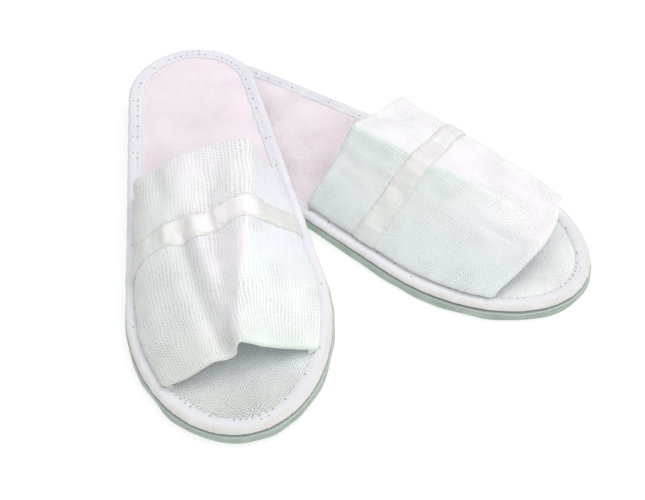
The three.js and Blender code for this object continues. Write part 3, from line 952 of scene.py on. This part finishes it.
def build_binding(slipper, seed):
    number, row, count = stitch_row(seed)
    dip = bell((number - np.round(number)) * STITCH, 0.9)
    puff = -np.cos(2 * math.pi * number)
    curve = 1 - np.abs(OUT[:, 1]) ** 6  # where the edge turns round the heel and toe
    pucker = waves(seed + 2, 3.2, AROUND) * 0.10 * (0.35 + curve) + waves(seed + 3, 11, AROUND) * 0.12
    edge = np.maximum(8.0, row + 1.05) + 0.22 * puff + 0.15 * waves(seed + 4, 14, AROUND)
    one = np.ones(STATIONS)
    # The tape's outside from its hidden lower edge to its upper edge, as (inset, height).
    line = [
        (5.0 * one, 5.4 * one), (2.6 * one, 5.35 * one), (1.2 * one, 5.5 * one),
        (0.35 + 0.3 * pucker, 6.1 * one), (-0.05 + pucker, 6.7 * one), (0.1 + pucker, 7.6 + 0.3 * pucker),
        (0.85 + 0.5 * pucker, 8.45 + 0.5 * pucker), (2.1 * one, 8.98 + 0.6 * pucker),
        (0.6 * row, 9.06 + 0.07 * puff + 0.6 * pucker), (row - 1.0, 8.90 + 0.05 * puff),
        (row, 8.76 - 0.2 * dip), (0.45 * row + 0.55 * edge, 8.66 + 0.05 * puff),
        (0.15 * row + 0.85 * edge, 8.42 + 0.05 * puff), (edge, 8.14 * one),
    ]
    control = np.stack([np.column_stack(c) for c in line])
    steps = 44
    t = np.linspace(0, 1, steps)
    outside = smooth_chain(control, t)
    slope = np.gradient(outside, axis=0)
    slope /= np.linalg.norm(slope, axis=-1, keepdims=True)
    thick = TAPE_THICKNESS - 0.26 * eased((t - 0.86) / 0.14)  # thinner at its inner edge
    inside = outside + thick[:, None, None] * np.stack([slope[..., 1], -slope[..., 0]], -1)
    loop = np.concatenate([outside, inside[::-1]])
    points = np.stack([ring(c[:, 0], c[:, 1]) for c in loop])
    across, tall = np.moveaxis(np.concatenate([loop, loop[:, :1]], 1), -1, 0)
    width = arc_length(loop.mean(1))
    width = np.append(width, width[-1] + 0.4)
    round_it = np.append(AROUND, PERIMETER)
    cloth = np.stack(np.broadcast_arrays(round_it[None, :], width[:, None]), -1)
    at = np.append(number, number[0] + count)
    # Distance from the stitch row across the tape, negative towards the outside edge.
    off = across - np.append(row, row[0])
    off = np.where(tall < 8.3, off - (8.3 - tall), off)
    stitch = np.stack([np.broadcast_to(at[None], off.shape), off], -1)
    stitch = np.concatenate([stitch, stitch[:1]], 0)
    solid = Solid()
    solid.grid(points, wrap=(True, True), cloth=cloth, stitch=stitch)
    nodes = ("edge_binding_rear", "edge_binding_toe")
    piece = slipper.dress(solid, "binding_tape", "tape", "binding_tape", nodes)
    # The stitches: over the tape from hole to hole, and through it at each hole.
    fine = np.linspace(0, count, count * 10, endpoint=False)
    around = np.interp(fine, at, round_it)
    plan = [np.interp(around, round_it, np.append(c, c[0])) for c in (*PLACE.T, *OUT.T, row)]
    rise = np.abs(np.sin(math.pi * fine)) ** 0.5
    height = 8.5 + 0.2 * rise
    path = np.column_stack([plan[0] - plan[4] * plan[2], plan[1] - plan[4] * plan[3], height])
    thread = tube(path, 0.8 * THREAD_RADIUS, closed=True)
    nodes = ("binding_thread_rear", "binding_thread_toe")
    thread = slipper.dress(thread, "binding_stitches", "thread", "binding_thread", nodes)


def smooth_chain(control, t):
    """A curve through control (corners, stations, 2), one for each station."""
    last = len(control) - 1
    ends = np.concatenate([2 * control[:1] - control[1:2], control, 2 * control[-1:] - control[-2:-1]])
    x = t * last
    i = np.minimum(x.astype(int), last - 1)
    w = (x - i)[:, None, None]
    a, b, c, d = ends[i], ends[i + 1], ends[i + 2], ends[i + 3]
    return 0.5 * (2 * b + (c - a) * w + (2 * a - 5 * b + 4 * c - d) * w**2 + (3 * b - a - 3 * c + d) * w**3)


# ---- Upper ----
def settle(upper, slipper):
    """Lets the slack fabric sink and crumple a little between the sewn sides and the creases."""
    rows, columns = SETTLE_GRID
    v = np.linspace(0, 1, columns)
    u = np.repeat(np.linspace(0, 1, rows)[:, None], columns, 1)
    start = upper.layer(u, v, UPPER_THICKNESS / 2 + 0 * u)
    solid = Solid()
    solid.grid(start)
    sheet = solid.object(f"{upper.side}_slack_sheet", slipper)
    hold = upper.held(u, v).ravel()
    group = sheet.vertex_groups.new(name="held")
    for index, weight in enumerate(hold):
        group.add([index], float(weight), "REPLACE")
    cloth = sheet.modifiers.new("slack", "CLOTH")
    for key, value in {
        "quality": 6, "mass": 0.0004, "air_damping": 2.0, "tension_stiffness": 12,
        "compression_stiffness": 12, "shear_stiffness": 6, "bending_stiffness": 0.6,
        "shrink_min": -SLACK, "shrink_max": -SLACK, "vertex_group_mass": "held", "pin_stiffness": 4.0,
    }.items():
        setattr(cloth.settings, key, value)
    cloth.point_cache.frame_start, cloth.point_cache.frame_end = 1, SETTLE_FRAMES
    scene = bpy.context.scene
    for number in range(1, SETTLE_FRAMES + 1):
        scene.frame_set(number)
    result = sheet.evaluated_get(bpy.context.evaluated_depsgraph_get()).to_mesh()
    moved = np.empty(rows * columns * 3)
    result.vertices.foreach_get("co", moved)
    scene.frame_set(1)
    bpy.data.objects.remove(sheet)
    moved = ((moved.reshape(-1, 3) - slipper.heel) / MM @ slipper.axes.T).reshape(rows, columns, 3) - start
    for _ in range(3):
        wide = np.pad(moved, ((1, 1), (1, 1), (0, 0)), mode="edge")
        beside = wide[:-2, 1:-1] + wide[2:, 1:-1] + wide[1:-1, :-2] + wide[1:-1, 2:]
        moved = (beside + 4 * moved) / 8
    length = np.maximum(np.linalg.norm(moved, axis=-1, keepdims=True), 1e-6)
    moved *= MOST_SETTLING * np.tanh(length / MOST_SETTLING) / length
    moved *= eased(np.minimum(v, 1 - v) / 0.08)[None, :, None]
    return moved


def build_upper(slipper, seed):
    side = slipper.side
    upper = Upper(side, seed)
    upper.moved = settle(upper, slipper)
    inside = UPPER_THICKNESS - TERRY
    start, end = HEM + 0.002, 0.998 - HEM  # of the lining
    knit = swept(upper, hemmed(0), hemmed(TERRY * 0.85), 150)
    knit = slipper.dress(knit, "upper_knit", f"upper_{side}", "upper_terry", ("upper_outer",))
    pad = swept(
        upper, slab_chain(0.02, 0.98, TERRY + 0.2, 40), slab_chain(0.02, 0.98, TERRY + 1.5, 40), 90
    )
    pad = slipper.dress(pad, "upper_foam", "foam", "upper_padding", ("upper_padding",))
    lining = swept(
        upper, slab_chain(start, end, inside + 0.1), slab_chain(start, end, UPPER_THICKNESS - 0.1), 110
    )
    lining = slipper.dress(lining, "upper_lining_cloth", "lining", "upper_lining", ("upper_lining",))
    v = np.linspace(0, 1, 400)
    u = np.linspace(0.06, 0.94, 12)[:, None] + 0 * v
    for cloth, width, depth in ((knit, 0.136, TERRY / 2), (lining, 0.110, (inside + UPPER_THICKNESS) / 2)):
        flat = (width, measured(upper.layer(u, v, depth + 0 * u)))
    build_ribbon(slipper, upper, seed + 20)


def standoff(upper, v, across, seed):
    """How far the ribbon stands off the fabric: its edges are sewn down, its middle is free."""
    middle = 1 - np.abs(2 * across - 1) ** 3
    puff = 0.12 + 0.28 * middle + 0.05 * middle * waves(seed, 7, v * upper.over)
    return puff + 0.6 * middle * np.maximum(upper.slack(v) + 0.3, 0)


def build_ribbon(slipper, upper, seed):
    side = slipper.side
    v = np.linspace(0.0, 1.0, 241)
    rear, front = upper.seams(v)
    across = np.linspace(0, 1, 19)
    u = rear[None] + (front - rear)[None] * across[:, None]
    ripple = standoff(upper, v[None], across[:, None], seed)
    top = upper.layer(u, v, -ripple - RIBBON_THICKNESS)
    base = upper.layer(u, v, -ripple)
    loop = np.concatenate([top, base[::-1]])
    x = across * RIBBON_WIDTH
    x = np.concatenate([x, RIBBON_WIDTH + 1.5 + x, [2 * RIBBON_WIDTH + 2]])
    layout = np.stack(np.meshgrid(x, v * upper.over, indexing="ij"), -1)
    ribbon = band(loop, layout)
    piece = slipper.dress(ribbon, "satin_ribbon", f"satin_{side}", "satin_ribbon", ("ribbon",), bends=False)
    count = round(upper.over / RIBBON_STITCH)
    fine = np.linspace(0.01, 0.99, count * 9)
    edge, other = np.interp(fine, v, rear), np.interp(fine, v, front)
    rise = 0.34 * np.abs(np.sin(math.pi * fine * count)) ** 0.6 - STITCH_DEPTH
    for number, (name, share) in enumerate((("rear", 0.085), ("front", 0.915))):
        wobble = 0.022 * waves(seed + 5 + number, 9, fine * upper.over)
        lift = standoff(upper, fine, share, seed) + RIBBON_THICKNESS
        at = edge + (other - edge) * (share + wobble)
        path = upper.layer(at[None], fine, -(lift + rise)[None])[0]
        finish = ("cream_thread", "ribbon_thread", (f"ribbon_thread_{name}",))
        thread = tube(path, THREAD_RADIUS)
        slipper.dress(thread, f"ribbon_stitches_{name}", *finish, bends=False)


for index, side in enumerate(("right", "left")):
    slipper = Slipper(side)
    build_sole(slipper, 100 + 50 * index)
    build_upper(slipper, 300 + 50 * index)


# ---- Floor, light and camera ----
FLOOR_REACH = 6.0  # m
FLOOR_HEIGHT = -0.0005  # m, just under the slippers
CAMERA_PLACE = (-14.4, -533.6, 543.9)  # mm
CAMERA_TARGET = (-14.4, -11.2, 0)
LENS = 77.7
SKY_SHARE = 0.55  # how much of the white that shows behind the slippers lights them


def area_light(name, place, size, power, colour):
    """A square lamp aimed at the middle of the pair: place and size in m, power in W."""
    data = bpy.data.lights.new(name, "AREA")
    data.shape = "SQUARE"
    data.size = size
    data.energy = power
    data.color = colour
    lamp = placed(name, data)
    lamp.location = place
    lamp.rotation_euler = (-Vector(place)).to_track_quat("-Z", "Y").to_euler()


def studio():
    mesh = bpy.data.meshes.new("floor")
    signs = ((-1, -1), (1, -1), (1, 1), (-1, 1))
    corners = [(x * FLOOR_REACH, y * FLOOR_REACH, FLOOR_HEIGHT) for x, y in signs]
    mesh.from_pydata(corners, [], [(0, 1, 2, 3)])
    floor = placed("floor", mesh)
    paper = Finish("floor_paper", Roughness=0.9, Base_Color=(0.35, 0.35, 0.35, 1))
    paper.feed(paper.shader.inputs["Emission Color"], (1, 1, 1, 1))
    paper.feed(paper.shader.inputs["Emission Strength"], 0.7)
    mesh.materials.append(paper.material)
    world = bpy.data.worlds.new("studio")
    world.use_nodes = True
    sky = world.node_tree.nodes["Background"]
    seen = world.node_tree.nodes.new("ShaderNodeLightPath")
    strength = world.node_tree.nodes.new("ShaderNodeMath")
    strength.operation = "MULTIPLY_ADD"
    strength.inputs[1].default_value = 1 - SKY_SHARE
    strength.inputs[2].default_value = SKY_SHARE
    world.node_tree.links.new(seen.outputs["Is Camera Ray"], strength.inputs[0])
    world.node_tree.links.new(strength.outputs[0], sky.inputs["Strength"])
    sky.inputs["Color"].default_value = (0.965, 0.985, 0.985, 1)
    bpy.context.scene.world = world
    area_light("key", (0.42, 0.08, 1.4), 1.7, 11.4, (1.0, 0.975, 0.99))
    area_light("gloss", (0.42, 0.2, 1.1), 0.16, 1.1, (1.0, 0.99, 0.99))
    area_light("sheen", (-0.45, 0.55, 1.1), 0.5, 0.8, (1.0, 0.98, 0.99))
    area_light("fill", (0.35, -1.2, 0.5), 1.0, 2.9, (0.95, 1.0, 0.985))
    scene = bpy.context.scene
    scene.view_settings.view_transform = "Standard"
    camera_data = bpy.data.cameras.new("camera")
    camera_data.sensor_width = 36
    camera_data.lens = LENS
    camera = placed("camera", camera_data)
    camera.location = Vector(CAMERA_PLACE) * MM
    camera.rotation_euler = (Vector(CAMERA_TARGET) * MM - camera.location).to_track_quat("-Z", "Y").to_euler()
    scene.camera = camera


studio()
